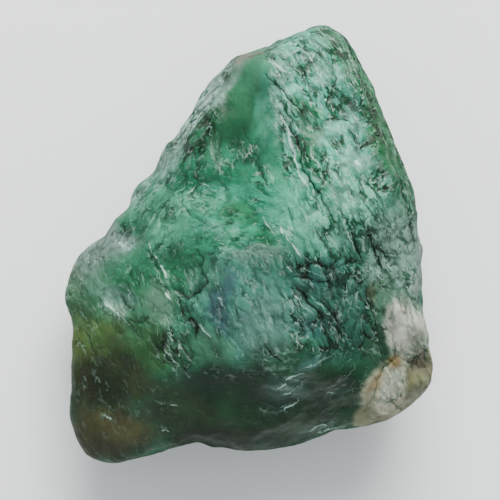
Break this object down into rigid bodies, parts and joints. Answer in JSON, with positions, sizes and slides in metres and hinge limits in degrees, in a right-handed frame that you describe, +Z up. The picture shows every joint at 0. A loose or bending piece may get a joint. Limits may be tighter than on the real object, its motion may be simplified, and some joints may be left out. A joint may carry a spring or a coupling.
{
  "type": "fluorite specimen",
  "caption": "Rough chunk of green fluorite with broken faces, ledges and hollows and a pale quartz corner, lying flat on its broad back.",
  "frame": {"origin": "on the resting face, under the middle of the chunk's box", "axes": "+Y from the wide foot to the narrow head, the longest way across; +X to the side with the quartz corner; +Z up from the resting face, through the chunk's thickness"},
  "size_m": [0.0592, 0.0704, 0.0322],
  "materials": {
    "fluorite": "wet gloss on broken faces, with milky green depth under them"
  },
  "bodies": {
    "root": {"fluorite_chunk": "fluorite"}
  },
  "joints": []
}
